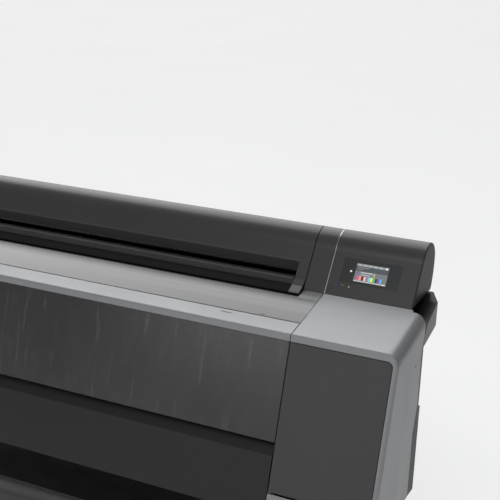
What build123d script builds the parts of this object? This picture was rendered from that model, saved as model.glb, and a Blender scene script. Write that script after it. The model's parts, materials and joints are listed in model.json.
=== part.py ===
"""Large format plotter: a 44-inch floor-standing roll printer on its own stand.

Millimetres. +X is the operator's right, -Y is the front, +Z is up. The origin is on the floor,
under the middle of the machine. Sections of the body are drawn in the YZ plane relative to
the deck's front edge, and at() moves them to the floor frame.
"""
import os
from math import atan, cos, radians, sin, tan

from build123d import *

# ---- driving dimensions ----
HALF_WIDTH = 954.5          # body, half of 1909
HALF_DEPTH = 333.5          # stand foot, half of 667
EDGE_Y = -165.0             # deck's front edge
EDGE_Z = 1012.6             # deck's front edge above the floor
SEAM = 657.0                # where the end casings meet the middle section
SEAM_GAP = 1.5              # shut line at the seam
WALL = 3.0                  # moulded wall
BODY_BOTTOM = -470.0        # below the deck's front edge
BODY_REAR = 190.0
REAR_BEND = -208.0          # below it the casing's rear edge runs forward
REAR_FOOT_EDGE = (168.0, -280.0)
STEP_X = 258.0              # beyond the head the deck ends a little earlier
STEP_REAR = 206.0
LEAN = radians(14.56)       # front face, bottom further forward
DECK_KNEE = (76.8, 16.2)    # the deck gets a little steeper here
DECK_REAR = (216.0, 50.4)
DECK_ROUND = 34.0           # deck to side rounding
EDGE_ROUND = 8.0            # deck to front rounding
SIDE_SLOT = (141.0, 148.0, -83.0, -73.0)        # small blind slot in the side panel

# tank covers and the maintenance box under the right one
COVER_LEFT = 2.0
COVER_RIGHT = 281.5
COVER_TOP = -19.5
COVER_BOTTOM = -405.0
COVER_GAP = 1.5
COVER_HINGE_GAP = 5.0
COVER_CORNER = 15.0
COVER_FOOT_CORNER = 3.0
COVER_SKIN = 2.6
COVER_RIM = 16.0
COVER_PIVOT_DEPTH = 8.0
COVER_PIVOT_RISE = 5.0
PIN_R = 2.5
RUN_FIT = 0.06              # radial clearance of a running fit
BOX_LEFT = 60.0
BOX_RIGHT = 220.0
BOX_TOP = -420.0
BOX_BOTTOM = -462.0
BOX_LENGTH = 230.0

# printer cover
STRIP_REAR = (56.0, 11.8)
HINGE_FRONT = (54.0, 4.0)
HINGE_PIN_R = 3.0
WINDOW_TOP = -18.6
WINDOW_BOTTOM = -279.0
WINDOW_THICK = 4.0
COVER_HALF = SEAM - SEAM_GAP

# head: control housing, shoulders and roll cover share one section
FACE_FOOT = (216.5, 51.0)
FACE_TOP = (285.5, 158.0)
CROWN_FRONT = (307.0, 187.5)
CROWN = (347.0, 205.4)
CROWN_REAR = (382.5, 186.0)
REAR_TOP = (394.5, 148.0)
REAR_MID = (391.0, 105.0)
REAR_FOOT = (377.5, 64.0)
FACE_TILT = atan((FACE_TOP[1] - FACE_FOOT[1]) / (FACE_TOP[0] - FACE_FOOT[0]))
SHOULDER_WIDTH = 61.5
HOUSING_WIDTH = 251.0
CAP_END = 254.5

# roll cover and roll
ROLL_COVER_HALF = SEAM - 64.0
CHEEK_WIDTH = 32.0
ROLL_COVER_LIP = 117.0
ROLL_HINGE = (372.0, 72.0)
ROLL_AXIS = (326.0, 109.0)
TROUGH_R = 58.5
HOLDER_IN = 566.0           # room for a 44-inch roll and its two adapters
HOLDER_WIDTH = 14.0
HOLDER_FIT = 0.1
HOLDER_FOOT = 30.0          # half width of the block low down
HOLDER_TOP = 21.0           # and at its top
CRADLE_R = 12.5             # seat of a roll adapter's hub
RAIL_TOP = 76.0
RAIL_BOTTOM = 58.0
RAIL_FRONT = 226.0
RAIL_REAR = 250.0

# printing mechanism
PAPER_Z = -249.0
CHASSIS_T = 3.0
CHASSIS_IN = SEAM + 0.6
RAIL_BEAM = (90.0, 120.0, -150.0, -90.0)
CARRIAGE_HALF = 60.0
BELT_Y = (128.0, 136.0)
PULLEY_X = 630.0
PULLEY_Z = -98.0
PULLEY_R = 15.0
BELT_T = 1.5
SHAFT_R = 3.0
FEED_AXIS = (110.0, -263.0)
FEED_R = 14.0
PINCH_R = 7.0
PINCH_AXIS = (110.0, FEED_AXIS[1] + FEED_R + PINCH_R + 1.0)
TANK_COUNT = 6
TANK_PITCH = 42.0
TANK_WIDTH = 37.0
RACK_FLOOR = -332.0
RACK_FRONT = -48.0
RACK_REAR = 160.0
TANK_HEIGHT = 122.0

# stand
LEG_X = 730.0
LEG_WIDTH = 60.0
LEG_FRONT = -70.0
LEG_REAR = 110.0
FOOT_TOP = 150.0
FOOT_BOTTOM = 92.0
FOOT_WIDTH = 70.0
TUBE_WALL = 3.0
CASTER_Y = 288.0
CASTER_TRAIL = 20.0
WHEEL_R = 31.0
WHEEL_WIDTH = 22.0
WHEEL_LIFT = 1.5            # the levelling feet carry the load
LEVELLER_Y = 205.0
LEVELLER_R = 24.0
LEVELLER_T = 9.0
BASKET_ROD_R = 8.0
BASKET_FRONT = (-300.0, 430.0)
BASKET_REAR = (20.0, 480.0)
BASKET_LOW = (-140.0, 228.0)
BASKET_HALF = 640.0
CLOTH_T = 3.0

os.makedirs("parts", exist_ok=True)


def save(part, label):
    """Label a finished piece and write it under its node name."""
    part.label = label
    export_step(part, f"parts/{label}.step")


def at(point):
    """A point of a YZ section, from the deck's front edge to the floor frame."""
    return (point[0] + EDGE_Y, point[1] + EDGE_Z)


def front_y(z):
    """The leaning front face at a height."""
    return -1.3 + z * tan(LEAN)


def up_front(z):
    """Distance along the front face of a height, from the deck's edge."""
    return z / cos(LEAN)


def front_plane(depth=0.0):
    """Plane of the front face, or parallel to it and further in."""
    return Plane(origin=(0, EDGE_Y + front_y(0) + depth * cos(LEAN), EDGE_Z - depth * sin(LEAN)),
                 x_dir=(1, 0, 0), z_dir=(0, -cos(LEAN), sin(LEAN)))


def face_plane(depth=0.0):
    """Plane of the head's sloping face; local Y runs up the face from its foot."""
    y, z = at(FACE_FOOT)
    return Plane(origin=(0, y + depth * sin(FACE_TILT), z - depth * cos(FACE_TILT)),
                 x_dir=(1, 0, 0), z_dir=(0, -sin(FACE_TILT), cos(FACE_TILT)))


def section(points, x0, x1):
    """A straight-sided YZ section, extruded from x0 to x1."""
    with BuildPart() as piece:
        with BuildSketch(Plane.YZ.offset(x0)):
            with BuildLine():
                Polyline(*[at(p) for p in points], close=True)
            make_face()
        extrude(amount=x1 - x0)
    return piece.part


def block(x0, x1, y0, y1, z0, z1):
    """A box by its limits, relative to the deck's front edge in Y and Z."""
    return section([(y0, z0), (y1, z0), (y1, z1), (y0, z1)], x0, x1)


def rod(x0, x1, centre, radius):
    """A round bar along X."""
    with BuildPart() as bar:
        with BuildSketch(Plane.YZ.offset(x0)):
            with Locations(at(centre)):
                Circle(radius)
        extrude(amount=x1 - x0)
    return bar.part


def front_pad(x0, x1, z0, z1, depth0, depth1):
    """A box set square to the leaning front face."""
    with BuildPart() as pad:
        with BuildSketch(front_plane(depth0)):
            with Locations(((x0 + x1) / 2, (up_front(z0) + up_front(z1)) / 2)):
                Rectangle(x1 - x0, up_front(z1) - up_front(z0))
        extrude(amount=-(depth1 - depth0))
    return pad.part


def head_solid(x0, x1, inset=0.0):
    """The head's section, extruded from x0 to x1, or the space inside its wall."""
    with BuildPart() as head:
        with BuildSketch(Plane.YZ.offset(x0)):
            with BuildLine():
                Line(at(FACE_FOOT), at(FACE_TOP))
                ThreePointArc(at(FACE_TOP), at(CROWN_FRONT), at(CROWN))
                ThreePointArc(at(CROWN), at(CROWN_REAR), at(REAR_TOP))
                ThreePointArc(at(REAR_TOP), at(REAR_MID), at(REAR_FOOT))
                Line(at(REAR_FOOT), at(FACE_FOOT))
            make_face()
            if inset:
                offset(amount=-inset, kind=Kind.INTERSECTION, mode=Mode.REPLACE)
        extrude(amount=x1 - x0)
    return head.part


def head_floor(x0, x1):
    """Cutter that opens the underside of a head shell."""
    return section([(226.5, 40), (373.5, 52), (373.5, 72), (231.5, 64)], x0, x1)


def head_shell(x0, x1, end_round=0.0):
    """A head housing with open underside; end_round softens its outer end."""
    with BuildPart() as shell:
        add(head_solid(x0, x1))
        if end_round:
            fillet(shell.faces().sort_by(Axis.X)[-1].edges(), end_round)
        add(head_solid(x0 + WALL, x1 - WALL, WALL), mode=Mode.SUBTRACT)
        add(head_floor(x0 + WALL, x1 - WALL), mode=Mode.SUBTRACT)
    return shell.part


def mirrored(part):
    """The same piece on the machine's left."""
    return mirror(part, about=Plane.YZ)


# ---- end casings ----
def cover_pivot():
    """Height at which the tank cover's hinge line crosses the front face."""
    return COVER_BOTTOM + COVER_PIVOT_RISE * cos(LEAN)


def pivot_yz():
    """Tank cover hinge line in the section frame."""
    z_face = cover_pivot()
    y = front_y(z_face) + COVER_PIVOT_DEPTH * cos(LEAN)
    return (y, z_face - COVER_PIVOT_DEPTH * sin(LEAN))


def cover_outline(gap, skin_depth, extra_left=0.0):
    """Blank of the tank cover or, with a gap, of its opening."""
    top = up_front(COVER_TOP) + gap
    bottom = up_front(COVER_BOTTOM) - (COVER_HINGE_GAP if gap else 0.0)
    left = SEAM + COVER_LEFT - extra_left
    right = SEAM + COVER_RIGHT + gap
    with BuildPart() as blank:
        with BuildSketch(front_plane(-1.0 if gap else 0.0)) as outline:
            with Locations(((left + right) / 2, (top + bottom) / 2)):
                Rectangle(right - left, top - bottom)
            outer_corners = outline.vertices().group_by(Axis.X)[-1].sort_by(Axis.Y)
            fillet(outer_corners[0], COVER_FOOT_CORNER)
            outer_corners = outline.vertices().group_by(Axis.Y)[-1].sort_by(Axis.X)
            fillet(outer_corners[-1], COVER_CORNER + gap)
        extrude(amount=-skin_depth)
    return blank.part


def casing_blank(inset, x0):
    """Solid end casing, or the space inside it when inset by the wall."""
    slope_in = inset * (1 + tan(LEAN))
    points = [(front_y(0) + slope_in, -inset), (DECK_KNEE[0], DECK_KNEE[1] - inset),
              (DECK_REAR[0] - inset, DECK_REAR[1] - inset * 1.25), (DECK_REAR[0] - inset, 16),
              (BODY_REAR + 1 - inset, -43), (BODY_REAR - inset, REAR_BEND),
              (REAR_FOOT_EDGE[0] - inset, REAR_FOOT_EDGE[1]),
              (REAR_FOOT_EDGE[0] - inset, BODY_BOTTOM + inset),
              (front_y(BODY_BOTTOM) + inset, BODY_BOTTOM + inset)]
    side_x = HALF_WIDTH - inset
    with BuildPart() as blank:
        add(section(points, x0, side_x))
        add(block(SEAM + STEP_X - inset, side_x + 1, STEP_REAR - inset, DECK_REAR[0] + 14, -60, 80),
            mode=Mode.SUBTRACT)
        side_edges = blank.edges().filter_by_position(Axis.X, side_x - 0.1, side_x + 0.1)
        deck_edges = [e for e in side_edges if e.center().Z > EDGE_Z - 4 and e.length > 60]
        fillet(deck_edges, DECK_ROUND - inset)
        if not inset:
            front_face = blank.faces().sort_by(Axis.Y)[0]
            rim = [e for e in front_face.edges() if e.center().X > x0 + 10 and e.center().Z > 560]
            fillet(rim, EDGE_ROUND)
    return blank.part


def make_casing():
    """End casing shell with the tank cover's opening and hinge lugs."""
    seam_x = SEAM + SEAM_GAP / 2
    with BuildPart() as casing:
        add(casing_blank(0.0, seam_x))
        add(casing_blank(WALL, seam_x - 1), mode=Mode.SUBTRACT)
        add(cover_outline(COVER_GAP, 12.0, extra_left=6.0), mode=Mode.SUBTRACT)
        y0, y1, z0, z1 = SIDE_SLOT
        add(block(HALF_WIDTH - 1.2, HALF_WIDTH + 1, y0, y1, z0, z1), mode=Mode.SUBTRACT)
        lug_z = cover_pivot()
        for x0, x1 in ((SEAM + 7, SEAM + 12), (SEAM + COVER_RIGHT + 2.5, SEAM + COVER_RIGHT + 8.5)):
            add(front_pad(x0, x1, lug_z - 3.8, lug_z + 3.8, 4.4, 22.0))
            add(front_pad(x0, x1, BODY_BOTTOM + 1.5, lug_z + 3.8, 18.0, 22.0))
        add(rod(SEAM + 1, HALF_WIDTH - 3.5, pivot_yz(), PIN_R + RUN_FIT), mode=Mode.SUBTRACT)
    return casing.part


def make_right_casing(casing):
    """The right casing also has the maintenance box's bay."""
    with BuildPart() as right_casing:
        add(casing)
        z0, z1 = BOX_BOTTOM - 1.0, BOX_TOP + 1.0
        add(front_pad(SEAM + BOX_LEFT - 1, SEAM + BOX_RIGHT + 1, z0, z1, -5, 12), mode=Mode.SUBTRACT)
    return right_casing.part


def make_tank_cover():
    """Tank cover: a skin with a rim and two hinge pins at its foot."""
    with BuildPart() as cover:
        add(cover_outline(0.0, COVER_RIM))
        fillet(cover.faces().sort_by(Axis.Y)[0].edges(), 1.2)
        with BuildSketch(front_plane(COVER_SKIN)) as pocket:
            left, right = SEAM + COVER_LEFT + 2.5, SEAM + COVER_RIGHT - 2.5
            top, bottom = up_front(COVER_TOP) - 2.5, up_front(COVER_BOTTOM) + 2.5
            with Locations(((left + right) / 2, (top + bottom) / 2)):
                Rectangle(right - left, top - bottom)
            fillet(pocket.vertices().group_by(Axis.X)[-1].sort_by(Axis.Y)[-1], COVER_CORNER - 2.5)
        extrude(amount=-COVER_RIM, mode=Mode.SUBTRACT)
        low, high = COVER_BOTTOM - 2, COVER_BOTTOM + 12
        add(front_pad(SEAM + 6, SEAM + 13, low, high, COVER_SKIN, 20.0), mode=Mode.SUBTRACT)
        add(rod(SEAM + COVER_LEFT + 1, SEAM + 13, pivot_yz(), PIN_R))
        add(rod(SEAM + COVER_RIGHT - 1.5, SEAM + COVER_RIGHT + 9, pivot_yz(), PIN_R))
    return cover.part


casing = make_casing()
save(make_right_casing(casing), "right_casing")
save(mirrored(casing), "left_casing")
tank_cover = make_tank_cover()
save(tank_cover, "right_tank_cover")
save(mirrored(tank_cover), "left_tank_cover")


# ---- ink tanks and their racks ----
def make_rack():
    """Floor, rear wall and dividers for one side's tanks."""
    left, right = SEAM + 8, SEAM + 8 + TANK_COUNT * TANK_PITCH + 4
    with BuildPart() as rack:
        add(block(left, right, RACK_FRONT, RACK_REAR, RACK_FLOOR - 4, RACK_FLOOR))
        add(block(left, right, RACK_REAR - 4, RACK_REAR, RACK_FLOOR - 4, RACK_FLOOR + TANK_HEIGHT))
        for i in range(TANK_COUNT + 1):
            x = left + 2 + i * TANK_PITCH
            add(block(x - 1.2, x + 1.2, RACK_FRONT + 20, RACK_REAR, RACK_FLOOR - 4, RACK_FLOOR + 60))
    return rack.part


def make_tanks():
    """One side's ink tanks, side by side."""
    tanks = []
    for i in range(TANK_COUNT):
        x = SEAM + 10 + (i + 0.5) * TANK_PITCH
        with BuildPart() as tank:
            add(block(x - TANK_WIDTH / 2, x + TANK_WIDTH / 2, RACK_FRONT - 4, RACK_REAR - 6,
                      RACK_FLOOR, RACK_FLOOR + TANK_HEIGHT))
            fillet(tank.edges().filter_by(Axis.Y), 5.0)
            # finger grip in the front wall
            grip = block(x - 12, x + 12, RACK_FRONT - 5, RACK_FRONT + 6,
                         RACK_FLOOR + 30, RACK_FLOOR + 56)
            add(grip, mode=Mode.SUBTRACT)
        tanks.append(tank.part)
    return tanks


rack = make_rack()
save(Compound(children=[rack, mirrored(rack)]), "tank_racks")
tanks = make_tanks()
save(Compound(children=tanks + [mirrored(tank) for tank in tanks]), "ink_tanks")


# ---- maintenance box ----
with BuildPart() as maintenance_box:
    x0, x1 = SEAM + BOX_LEFT, SEAM + BOX_RIGHT
    points = [(front_y(BOX_BOTTOM), BOX_BOTTOM), (front_y(BOX_TOP), BOX_TOP),
              (front_y(BOX_TOP) + BOX_LENGTH, BOX_TOP), (front_y(BOX_TOP) + BOX_LENGTH, BOX_BOTTOM)]
    add(section(points, x0, x1))
    fillet(maintenance_box.faces().sort_by(Axis.Y)[0].edges(), 1.5)
    # finger recess in the front
    grip_mid = (x0 + x1) / 2
    add(front_pad(grip_mid - 30, grip_mid + 30, BOX_TOP - 28, BOX_TOP - 12, -5, 10), mode=Mode.SUBTRACT)
save(maintenance_box.part, "maintenance_box")


# ---- middle section of the body ----
with BuildPart() as printer_cover_frame:
    band_low = WINDOW_TOP + 0.6
    strip = [STRIP_REAR, (front_y(0), 0), (front_y(band_low), band_low), (front_y(band_low) + 9, band_low),
             (8.0, -5.0), (STRIP_REAR[0], STRIP_REAR[1] - 4.0)]
    add(section(strip, -COVER_HALF, COVER_HALF))
    front_edges = printer_cover_frame.edges().filter_by(Axis.X)
    fillet(front_edges.filter_by_position(Axis.Z, EDGE_Z - 0.5, EDGE_Z + 0.5), EDGE_ROUND)
    for side in (-1, 1):
        inner, outer = side * (COVER_HALF - 14), side * COVER_HALF
        x0, x1 = min(inner, outer), max(inner, outer)
        add(front_pad(x0, x1, WINDOW_BOTTOM + 2, band_low + 4, WINDOW_THICK + 0.1, 9.0))
        pin_in, pin_out = side * (COVER_HALF - 30), side * (CHASSIS_IN + CHASSIS_T + 1.5)
        add(rod(min(pin_in, pin_out), max(pin_in, pin_out), HINGE_FRONT, HINGE_PIN_R))
        lug = [(42, 3), (42, 7.5), (54, 10.5), (57, 6), (56, 1.5), (52, 1)]
        add(section(lug, min(pin_in, outer), max(pin_in, outer)))
    add(front_pad(-COVER_HALF, COVER_HALF, WINDOW_BOTTOM + 2, WINDOW_BOTTOM + 16, WINDOW_THICK + 0.1, 9.0))
save(printer_cover_frame.part, "printer_cover_frame")

with BuildPart() as printer_cover_window:
    add(front_pad(-COVER_HALF, COVER_HALF, WINDOW_BOTTOM, WINDOW_TOP, 0.0, WINDOW_THICK))
    fillet(printer_cover_window.edges().filter_by(Axis.Y, tolerance=20), 2.0)
    chamfer(printer_cover_window.faces().sort_by(Axis.Y)[0].edges(), 0.6)
save(printer_cover_window.part, "printer_cover_window")

with BuildPart() as lower_front_cover:
    top = -315.0
    points = [(front_y(BODY_BOTTOM), BODY_BOTTOM), (front_y(top), top), (-34, -268), (-34, -273),
              (front_y(top) + 6, top - 5), (front_y(BODY_BOTTOM) + 5, BODY_BOTTOM + 4),
              (front_y(BODY_BOTTOM) + 30, BODY_BOTTOM + 4), (front_y(BODY_BOTTOM) + 30, BODY_BOTTOM)]
    add(section(points, -COVER_HALF, COVER_HALF))
    bend = lower_front_cover.edges().filter_by(Axis.X)
    fillet(bend.filter_by_position(Axis.Z, EDGE_Z + top - 0.5, EDGE_Z + top + 0.5), 3.0)
save(lower_front_cover.part, "lower_front_cover")

with BuildPart() as feed_guide:
    guide = [(62.5, 11.3), (76.8, 14.6), (180, 40.0), (186, 40.0), (188, 37.0), (188, 20.0),
             (185.5, 20.0), (185.5, 34.5), (180, 37.0), (76.8, 11.6), (62.5, 8.3)]
    add(section(guide, -COVER_HALF, COVER_HALF))
    for side in (-1, 1):
        x0, x1 = sorted((side * (ROLL_COVER_HALF + 2), side * COVER_HALF))
        add(section([(178, 39.5), DECK_REAR, (DECK_REAR[0], 46.0), (178, 36.5)], x0, x1))
save(feed_guide.part, "feed_guide")

with BuildPart() as base_tray:
    front = front_y(BODY_BOTTOM) + 31
    rear = REAR_FOOT_EDGE[0] - 1
    add(block(-COVER_HALF, COVER_HALF, front, rear, BODY_BOTTOM, BODY_BOTTOM + 2.5))
    add(block(-COVER_HALF, COVER_HALF, front, front + 2.5, BODY_BOTTOM, BODY_BOTTOM + 25))
    add(block(-COVER_HALF, COVER_HALF, rear - 2.5, rear, BODY_BOTTOM, BODY_BOTTOM + 25))
save(base_tray.part, "base_tray")

INLET_X = 420.0
INLET_Z = -400.0
with BuildPart() as rear_panel:
    gap = 1.2
    foot_y, foot_z = REAR_FOOT_EDGE
    outer = [(BODY_REAR + gap, -46), (206, -46), (206, -213), (220, -218), (220, BODY_BOTTOM),
             (foot_y + gap, BODY_BOTTOM), (foot_y + gap, foot_z - 0.4), (BODY_REAR + gap, REAR_BEND - 0.4)]
    inner = [(foot_y - 8, -50), (202.5, -50), (202.5, -209), (216.5, -214),
             (216.5, BODY_BOTTOM + 2.4), (foot_y - 8, BODY_BOTTOM + 2.4)]
    add(section(outer, -HALF_WIDTH + 1, HALF_WIDTH - 1))
    add(section(inner, -HALF_WIDTH + 5, HALF_WIDTH - 5), mode=Mode.SUBTRACT)
    for column in range(5):
        for row in range(6):
            x = -560 + column * 90
            z = -420 + row * 14
            add(block(x, x + 70, 210, 225, z, z + 5), mode=Mode.SUBTRACT)
    add(block(INLET_X - 16, INLET_X + 16, 210, 225, INLET_Z - 13, INLET_Z + 13), mode=Mode.SUBTRACT)
save(rear_panel.part, "rear_panel")

with BuildPart() as power_inlet:
    # mains inlet with three blades in a deep socket
    add(block(INLET_X - 15.5, INLET_X + 15.5, 196, 219, INLET_Z - 12.5, INLET_Z + 12.5))
    add(block(INLET_X - 21, INLET_X + 21, 213, 216.4, INLET_Z - 17, INLET_Z + 17))
    add(block(INLET_X - 12.3, INLET_X + 12.3, 203, 220, INLET_Z - 8.5, INLET_Z + 8.5), mode=Mode.SUBTRACT)
    for x, z in ((-7, 0), (0, 3.5), (7, 0)):
        add(block(INLET_X + x - 1, INLET_X + x + 1, 202, 215, INLET_Z + z - 2, INLET_Z + z + 2))
save(power_inlet.part, "power_inlet")

with BuildPart() as power_supply:
    add(block(INLET_X - 90, INLET_X + 90, 60, 164, BODY_BOTTOM + 2.5, -360))
    fillet(power_supply.edges().filter_by(Axis.Z), 3.0)
    add(block(INLET_X - 80, INLET_X + 80, 58, 63, -440, -380), mode=Mode.SUBTRACT)
save(power_supply.part, "power_supply")

with BuildPart() as main_board:
    add(block(-300, -60, 100, 101.6, BODY_BOTTOM + 2.5, -330))
    for x, z, w, h in ((-250, -400, 40, 40), (-180, -380, 30, 24), (-120, -430, 36, 18)):
        add(block(x, x + w, 90, 100.5, z, z + h))
save(main_board.part, "main_board")

with BuildPart() as rear_housing:
    shell = [(193, -45), (217.5, 13), (305, 53), (379, 57), (389, 40), (381, 12), (294, -17)]
    hollow = [(206, -37), (222, 11), (303, 46.5), (372, 42), (380, 38), (374.5, 15), (292, -11.5)]
    add(section(shell, -HALF_WIDTH, HALF_WIDTH))
    for side in (-1, 1):
        corner = [(side * (HALF_WIDTH + 1), 305 + EDGE_Y), (side * (HALF_WIDTH + 1), 395 + EDGE_Y),
                  (side * (HALF_WIDTH - 42), 395 + EDGE_Y)]
        with BuildSketch(Plane.XY.offset(EDGE_Z - 60)):
            with BuildLine():
                Polyline(*corner, close=True)
            make_face()
        extrude(amount=140, mode=Mode.SUBTRACT)
    add(section(hollow, -HALF_WIDTH + 50, HALF_WIDTH - 50), mode=Mode.SUBTRACT)
    # slot into the body for the sensor leads
    add(block(-200, 200, 190, 222, -30, -12), mode=Mode.SUBTRACT)
    trough_half = ROLL_COVER_HALF - 1
    add(rod(-trough_half, trough_half, ROLL_AXIS, TROUGH_R), mode=Mode.SUBTRACT)
save(rear_housing.part, "rear_housing")


# ---- head: control housing, shoulders, end pieces ----
BEZEL = (SEAM + 117.0, 76.6, 167.0, 72.0)      # centre X, distance up the face, width, height
SCREEN = (SEAM + 118.6, 75.8, 95.0, 53.9)
BUTTON = (SEAM + 29.0, 31.0, 5.0)
SLIT = (SEAM + 227.0, 81.0, 9.0, 1.4)


def face_pad(spec, depth0, depth1):
    """A plate set square to the head's sloping face."""
    x, up, width, height = spec
    with BuildPart() as pad:
        with BuildSketch(face_plane(depth0)):
            with Locations((x, up)):
                Rectangle(width, height)
        extrude(amount=-(depth1 - depth0))
    return pad.part


def face_disc(radius, depth0, depth1):
    """A disc on the power button's axis."""
    with BuildPart() as disc:
        with BuildSketch(face_plane(depth0)):
            with Locations((BUTTON[0], BUTTON[1])):
                Circle(radius)
        extrude(amount=-(depth1 - depth0))
    return disc.part


with BuildPart() as control_housing:
    add(head_shell(SEAM + 1.6, SEAM + HOUSING_WIDTH))
    add(face_pad(BEZEL, -1.0, 1.7), mode=Mode.SUBTRACT)
    add(face_pad(SLIT, -1.0, 1.5), mode=Mode.SUBTRACT)
    add(face_disc(BUTTON[2] + 0.15, -1.0, 5.0), mode=Mode.SUBTRACT)
save(control_housing.part, "control_housing")

with BuildPart() as control_bezel:
    add(face_pad((BEZEL[0], BEZEL[1], BEZEL[2] - 0.4, BEZEL[3] - 0.4), 0.0, 1.7))
    add(face_pad(SCREEN, -1.0, 0.9), mode=Mode.SUBTRACT)
save(control_bezel.part, "control_bezel")

save(face_pad((SCREEN[0], SCREEN[1], SCREEN[2] - 0.2, SCREEN[3] - 0.2), 0.1, 0.9), "display")

with BuildPart() as power_button:
    add(face_disc(BUTTON[2], -0.5, 6.0))
    fillet(power_button.edges().sort_by(Axis.Y)[0], 0.4)
    add(face_disc(BUTTON[2] + 1.8, 3.2, 4.6))
save(power_button.part, "power_button")

with BuildPart() as control_end_cap:
    cap_x = SEAM + HOUSING_WIDTH + 0.6
    add(head_solid(cap_x, SEAM + CAP_END))
    fillet(control_end_cap.faces().sort_by(Axis.X)[-1].edges(), 1.8)
save(control_end_cap.part, "control_end_cap")

save(mirrored(head_shell(SEAM + 1.6, SEAM + CAP_END, 1.8)), "left_end_housing")

with BuildPart() as shoulder:
    shoulder_x = SEAM - SHOULDER_WIDTH
    add(head_shell(shoulder_x, SEAM - 0.6))
    add(rod(shoulder_x - 1, shoulder_x + 6, ROLL_HINGE, HINGE_PIN_R + RUN_FIT), mode=Mode.SUBTRACT)
save(shoulder.part, "right_shoulder")
save(mirrored(shoulder.part), "left_shoulder")
save(head_solid(SEAM - 0.5, SEAM + 1.5), "trim_plate")


# ---- roll cover ----
with BuildPart() as roll_cover:
    add(head_solid(-ROLL_COVER_HALF, ROLL_COVER_HALF))
    for side in (-1, 1):
        x0, x1 = sorted((side * (ROLL_COVER_HALF - CHEEK_WIDTH), side * ROLL_COVER_HALF))
        toe = [(189, 44.8), (217, 51.7), (236, 60), (240, 78), (232, 75), (213, 61), (190, 48)]
        add(section(toe, x0, x1))
    add(head_solid(-ROLL_COVER_HALF - 1, ROLL_COVER_HALF + 1, WALL), mode=Mode.SUBTRACT)
    add(head_floor(-ROLL_COVER_HALF - 1, ROLL_COVER_HALF + 1), mode=Mode.SUBTRACT)
    opening = [(170, 30), (300, 30), (300, ROLL_COVER_LIP), (240, ROLL_COVER_LIP)]
    mouth = ROLL_COVER_HALF - CHEEK_WIDTH
    add(section(opening, -mouth, mouth), mode=Mode.SUBTRACT)
    lip = [(258.6, ROLL_COVER_LIP - 0.5), (260.2, ROLL_COVER_LIP + 3), (263.6, ROLL_COVER_LIP + 3),
           (271.5, 89.0), (268.5, 88.0)]
    add(section(lip, -mouth, mouth))
    for side in (-1, 1):
        x0, x1 = sorted((side * (ROLL_COVER_HALF - 12), side * (ROLL_COVER_HALF - 2)))
        add(section([(366, 66), (366, 78), (388, 96), (378, 66)], x0, x1))
    pivot_x = ROLL_COVER_HALF + 5
    for side in (-1, 1):
        x0, x1 = sorted((side * (ROLL_COVER_HALF - 13), side * pivot_x))
        add(rod(x0, x1, ROLL_HINGE, HINGE_PIN_R))
save(roll_cover.part, "roll_cover")


# ---- adapter holders, which slide along the roll bay's trough ----
def disc_stack(x_and_r, centre):
    """Coaxial discs along X, each given as (x0, x1, radius)."""
    with BuildPart() as stack:
        for x0, x1, radius in x_and_r:
            add(rod(x0, x1, centre, radius))
    return stack.part


with BuildPart() as holder:
    y, z = ROLL_AXIS
    add(rod(HOLDER_IN, HOLDER_IN + HOLDER_WIDTH, ROLL_AXIS, TROUGH_R - HOLDER_FIT))
    add(block(HOLDER_IN - 1, HOLDER_IN + HOLDER_WIDTH + 1, y - 90, y + 90, z - 26, z + 90),
        mode=Mode.SUBTRACT)
    for y0, y1 in ((y - 90, y - HOLDER_FOOT), (y + HOLDER_FOOT, y + 90)):
        add(block(HOLDER_IN - 1, HOLDER_IN + HOLDER_WIDTH + 1, y0, y1, z - 90, z + 90), mode=Mode.SUBTRACT)
    add(section([(y - HOLDER_FOOT, z - 30), (y + HOLDER_FOOT, z - 30), (y + HOLDER_TOP, z + 8),
                 (y - HOLDER_TOP, z + 8)], HOLDER_IN, HOLDER_IN + HOLDER_WIDTH))
    add(rod(HOLDER_IN - 1, HOLDER_IN + HOLDER_WIDTH + 1, ROLL_AXIS, CRADLE_R), mode=Mode.SUBTRACT)
    add(block(HOLDER_IN - 1, HOLDER_IN + HOLDER_WIDTH + 1, y - CRADLE_R, y + CRADLE_R, z, z + 20),
        mode=Mode.SUBTRACT)
save(holder.part, "right_adapter_holder")
save(mirrored(holder.part), "left_adapter_holder")

with BuildPart() as holder_rail:
    rail_end = ROLL_COVER_HALF - CHEEK_WIDTH - 1.5
    add(section([(RAIL_FRONT, RAIL_BOTTOM), (RAIL_FRONT, RAIL_TOP), (RAIL_REAR, RAIL_TOP),
                 (RAIL_REAR, 28.2), (RAIL_REAR - 6, 25.5), (RAIL_REAR - 6, RAIL_BOTTOM)],
                -rail_end, rail_end))
    fillet(holder_rail.edges().filter_by(Axis.X).group_by(Axis.Z)[-1].sort_by(Axis.Y)[0], 3.0)
save(holder_rail.part, "holder_rail")


# ---- printing mechanism ----
with BuildPart() as carriage_rail:
    y0, y1, z0, z1 = RAIL_BEAM
    add(block(-CHASSIS_IN, CHASSIS_IN, y0, y1, z0, z1))
    add(block(-CHASSIS_IN, CHASSIS_IN, y0 + 3, y1 - 3, z0 + 3, z1 - 3), mode=Mode.SUBTRACT)
    # stub axle of the idler pulley
    with BuildSketch(Plane.XZ.offset(-(y1 - 1 + EDGE_Y))):
        with Locations((-PULLEY_X, PULLEY_Z + EDGE_Z)):
            Circle(SHAFT_R)
    extrude(amount=-(BELT_Y[1] + 3 - y1))
save(carriage_rail.part, "carriage_rail")

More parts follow.
